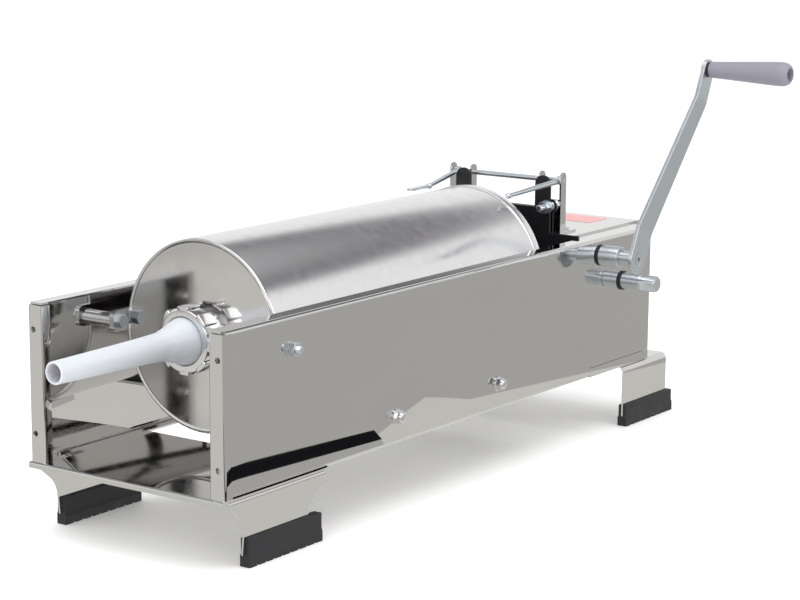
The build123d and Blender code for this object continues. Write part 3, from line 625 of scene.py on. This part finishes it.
class STUFFER_OT_ring_nut(bpy.types.Operator):
    """Ring nut: a turned ring and the lugs round it"""

    bl_idname = "stuffer.ring_nut"
    bl_label = "Ring nut"

    def execute(self, context):
        sizes = context.scene.stuffer_sizes
        low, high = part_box("ring_nut")
        centre = (low + high) / 2
        depth = high.x - low.x
        edge = 1.4 * MM
        body = RING_BODY * MM
        outline = [
            (0.8 * MM, RING_MOUTH * MM),
            (0, 25.8 * MM),
            *arc((edge, body - edge), edge, 180, 90),
            *arc((depth - edge, body - edge), edge, 90, 0),
            (depth, RING_BORE * MM),
            (4.5 * MM, RING_BORE * MM),
            (4.5 * MM, RING_MOUTH * MM),
        ]
        ring = lathe("ring_nut_ring", outline, (low.x, centre.y, centre.z), ALONG, 128)
        cube = bpy.data.meshes.new("lug")
        bm = bmesh.new()
        size = Matrix.Diagonal((LUG_SIZE[0] * MM, LUG_SIZE[1] * MM, depth, 1))
        bmesh.ops.create_cube(bm, size=1, matrix=size)
        bmesh.ops.bevel(bm, geom=bm.edges[:], offset=1.0 * MM, segments=3, affect="EDGES", profile=0.5)
        bm.to_mesh(cube)
        bm.free()
        lug = bpy.data.objects.new("lug", cube)
        context.scene.collection.objects.link(lug)
        maker = bpy.data.objects.new("ring_nut_lugs", bpy.data.meshes.new("lugs"))
        context.scene.collection.objects.link(maker)
        modifier = maker.modifiers.new("lugs", "NODES")
        modifier.node_group = lug_tree()
        steel = finish("polished_stainless")
        values = {"Count": sizes.lug_count, "Radius": LUG_PLACE * MM, "Lug": lug, "Material": steel}
        for socket in modifier.node_group.interface.items_tree:
            if socket.in_out == "INPUT":
                modifier[socket.identifier] = values[socket.name]
        evaluated = maker.evaluated_get(context.evaluated_depsgraph_get())
        lugs = bpy.data.meshes.new_from_object(evaluated)
        lugs.transform(Matrix.Translation(centre) @ Matrix.Rotation(math.radians(90), 4, "Y"))
        smooth(lugs)
        bpy.data.objects.remove(maker)
        bpy.data.objects.remove(lug)
        new_piece("ring_nut_turned", ring, "polished_stainless", "nozzle_nut", "ring_nut")
        new_piece("ring_nut_lugs", lugs, "polished_stainless", "nozzle_nut")
        return {"FINISHED"}


class STUFFER_OT_plates(bpy.types.Operator):
    """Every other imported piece, as a clean copy with smooth bends, and rounded edges where handled"""

    bl_idname = "stuffer.plates"
    bl_label = "Plates, shafts and fasteners"

    def execute(self, context):
        done = {name for o in context.scene.objects for name in o.get("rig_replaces", [])}
        for node in sorted(NODES):
            if node in done:
                continue
            piece = new_piece(node + "_finished", merged_copy(node), SLOT_OF[node], BODY_OF[node], node)
            if node in ROUNDED:
                bevel = piece.modifiers.new("rounded edges", "BEVEL")
                bevel.width = ROUNDED[node] * MM
                bevel.segments = 2
                bevel.limit_method = "ANGLE"
                bevel.angle_limit = math.radians(40)
                bevel.use_clamp_overlap = True
        return {"FINISHED"}


class STUFFER_OT_label(bpy.types.Operator):
    """Plain label on the top cover, with no print that can be read"""

    bl_idname = "stuffer.label"
    bl_label = "Label"

    def execute(self, context):
        low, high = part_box("top_cover")
        mesh = bpy.data.meshes.new("label")
        bm = bmesh.new()
        size = Matrix.Diagonal((44 * MM, 62 * MM, 0.3 * MM, 1))
        place = Matrix.Translation((low.x + 122 * MM, (low.y + high.y) / 2 - 30 * MM, high.z + 0.15 * MM))
        bmesh.ops.create_cube(bm, size=1, matrix=place @ size)
        upright = [e for e in bm.edges if abs((e.verts[0].co - e.verts[1].co).normalized().z) > 0.9]
        bmesh.ops.bevel(bm, geom=upright, offset=4 * MM, segments=5, affect="EDGES", profile=0.5)
        bm.to_mesh(mesh)
        bm.free()
        mesh.materials.append(finish("label"))
        new_piece("cover_label", mesh, "label", "machine")
        return {"FINISHED"}


# ------------------------------------------------------------------ stage

# What polished metal sees round the studio, as (sine of the height above the horizon, sRGB colour).
# The first two are the ends of the colour ramp.
ROOM_BANDS = (
    (0.0, "#ffffff"),
    (1.0, "#dcdcda"),
    (0.51, "#ffffff"),
    (0.565, "#98979a"),
    (0.62, "#78777a"),
    (0.70, "#a2a2a3"),
    (0.82, "#d0d0d0"),
)

# What stands round the machine, in metres and watts
FLOOR = ((-60, -60), (60, -60), (60, 60), (-60, 60))
PAPER = ((-2.2, -0.215), (0.12, -0.215), (0.16, -0.255), (0.358, -0.325))
PAPER += ((0.38, -0.27), (0.9, -0.18), (0.9, 1.2), (-2.2, 1.2))
PAPER_EDGE = ((-0.9, -0.41), (0.172, -0.27), (0.142, -0.236), (-0.9, -0.33))
CARDS = (
    ("room_floor", ((-9, -9), (9, -9), (9, 9), (-9, 9)), -0.004, "#c3c2bf"),
    ("paper", PAPER, -0.003, "#e6e5df"),
    ("paper_edge", PAPER_EDGE, -0.002, "#1c1b1e"),
)
LAMPS = (
    ("overhead", (-0.3, -0.2, 2.6), (0, 0, 0), (3.0, 2.4), 30),
    ("front_left", (-2.6, -0.6, 1.6), (0, 0, 0.2), (1.6, 1.6), 16),
    ("front_right", (0.6, -2.8, 1.5), (0, 0, 0.2), (1.8, 1.4), 12),
)


def flat_card(name, corners, height, colour, glossy_only=True):
    """Level polygon: a glowing card that shows only in reflections, or the white floor."""
    mesh = bpy.data.meshes.new(name)
    mesh.from_pydata([(x, y, height) for x, y in corners], [], [tuple(range(len(corners)))])
    material = bpy.data.materials.new(name)
    material.use_nodes = True
    tree = material.node_tree
    tree.nodes.clear()
    if glossy_only:
        shader = add(tree, "ShaderNodeEmission", Color=colour, Strength=1.0)
    else:
        shader = add(tree, "ShaderNodeBsdfPrincipled", Base_Color=colour, Roughness=0.6)
        shader.inputs["Emission Color"].default_value = colour
        shader.inputs["Emission Strength"].default_value = 0.1
    add(tree, "ShaderNodeOutputMaterial", {"Surface": shader.outputs[0]})
    mesh.materials.append(material)
    card = bpy.data.objects.new(name, mesh)
    bpy.context.scene.collection.objects.link(card)
    if glossy_only:
        card.visible_camera = False
        card.visible_diffuse = False
        card.visible_shadow = False
        card.visible_transmission = False
    return card


def soft_light(name, place, target, size, power):
    """Large square lamp turned towards a point."""
    data = bpy.data.lights.new(name, "AREA")
    data.shape = "RECTANGLE"
    data.size, data.size_y = size
    data.energy = power
    lamp = bpy.data.objects.new(name, data)
    bpy.context.scene.collection.objects.link(lamp)
    aim = (Vector(target) - Vector(place)).to_track_quat("-Z", "Y")
    lamp.matrix_world = Matrix.Translation(place) @ aim.to_matrix().to_4x4()


class STUFFER_OT_stage(bpy.types.Operator):
    """White floor, grey room for the reflections, soft lights and the camera"""

    bl_idname = "stuffer.stage"
    bl_label = "Studio"

    def execute(self, context):
        scene = context.scene
        scene.view_settings.view_transform = "Standard"
        world = bpy.data.worlds.new("studio")
        world.use_nodes = True
        tree = world.node_tree
        tree.nodes.clear()
        path = add(tree, "ShaderNodeLightPath")
        coords = add(tree, "ShaderNodeTexCoord").outputs["Generated"]
        height = add(tree, "ShaderNodeSeparateXYZ", {0: coords}).outputs["Z"]
        bands = add(tree, "ShaderNodeValToRGB", {0: height})
        for step, (place, tone) in enumerate(ROOM_BANDS):
            stop = bands.color_ramp.elements[step] if step < 2 else bands.color_ramp.elements.new(place)
            stop.position = place
            stop.color = linear(tone)
        white = add(tree, "ShaderNodeBackground", Color=(1, 1, 1, 1), Strength=1.0)
        room = add(tree, "ShaderNodeBackground", {"Color": bands.outputs[0]}, Strength=1.0)
        mix = add(tree, "ShaderNodeMixShader")
        tree.links.new(path.outputs["Is Glossy Ray"], mix.inputs[0])
        tree.links.new(white.outputs[0], mix.inputs[1])
        tree.links.new(room.outputs[0], mix.inputs[2])
        add(tree, "ShaderNodeOutputWorld", {"Surface": mix.outputs[0]})
        scene.world = world

        floor = flat_card("floor", FLOOR, -0.0002, linear("#ffffff"), False)
        floor.visible_glossy = False
        for name, corners, height, colour in CARDS:
            flat_card(name, corners, height, linear(colour))
        for name, place, target, size, power in LAMPS:
            soft_light(name, place, target, size, power)

        sizes = scene.stuffer_sizes
        yaw, pitch, roll = sizes.camera_yaw, sizes.camera_pitch, sizes.camera_roll
        ahead = Vector((math.cos(yaw) * math.cos(pitch), math.sin(yaw) * math.cos(pitch), -math.sin(pitch)))
        level = Vector((math.sin(yaw), -math.cos(yaw), 0))
        up = level.cross(ahead)
        right = math.cos(roll) * level + math.sin(roll) * up
        up = right.cross(ahead)
        data = bpy.data.cameras.new("camera")
        data.lens = sizes.lens
        data.sensor_width = 36
        data.clip_end = 100
        camera = bpy.data.objects.new("camera", data)
        scene.collection.objects.link(camera)
        turn = Matrix((right, up, -ahead)).transposed().to_4x4()
        camera.matrix_world = Matrix.Translation(sizes.camera_place) @ turn
        scene.camera = camera
        return {"FINISHED"}


class STUFFER_PT_panel(bpy.types.Panel):
    """Lists the steps and their settings"""

    bl_idname = "STUFFER_PT_panel"
    bl_label = "Sausage stuffer"
    bl_space_type = "VIEW_3D"
    bl_region_type = "UI"
    bl_category = "Stuffer"

    def draw(self, context):
        layout = self.layout
        for group in (context.scene.stuffer_colours, context.scene.stuffer_sizes):
            for name in group.bl_rna.properties.keys():
                if name not in ("rna_type", "name"):
                    layout.prop(group, name)
        for operator in OPERATORS:
            layout.operator(operator.bl_idname)


OPERATORS = (
    STUFFER_OT_barrel,
    STUFFER_OT_funnel,
    STUFFER_OT_handle,
    STUFFER_OT_ring_nut,
    STUFFER_OT_plates,
    STUFFER_OT_label,
    STUFFER_OT_stage,
)
CLASSES = (StufferColours, StufferSizes, *OPERATORS, STUFFER_PT_panel)


def register():
    for cls in CLASSES:
        bpy.utils.register_class(cls)
    bpy.types.Scene.stuffer_colours = bpy.props.PointerProperty(type=StufferColours)
    bpy.types.Scene.stuffer_sizes = bpy.props.PointerProperty(type=StufferSizes)


def unregister():
    del bpy.types.Scene.stuffer_sizes
    del bpy.types.Scene.stuffer_colours
    for cls in reversed(CLASSES):
        bpy.utils.unregister_class(cls)


def main():
    """Makes every piece and the studio."""
    register()
    bpy.ops.stuffer.barrel()
    bpy.ops.stuffer.funnel()
    bpy.ops.stuffer.handle()
    bpy.ops.stuffer.ring_nut()
    bpy.ops.stuffer.plates()
    bpy.ops.stuffer.label()
    bpy.ops.stuffer.stage()


if __name__ == "__main__":
    main()
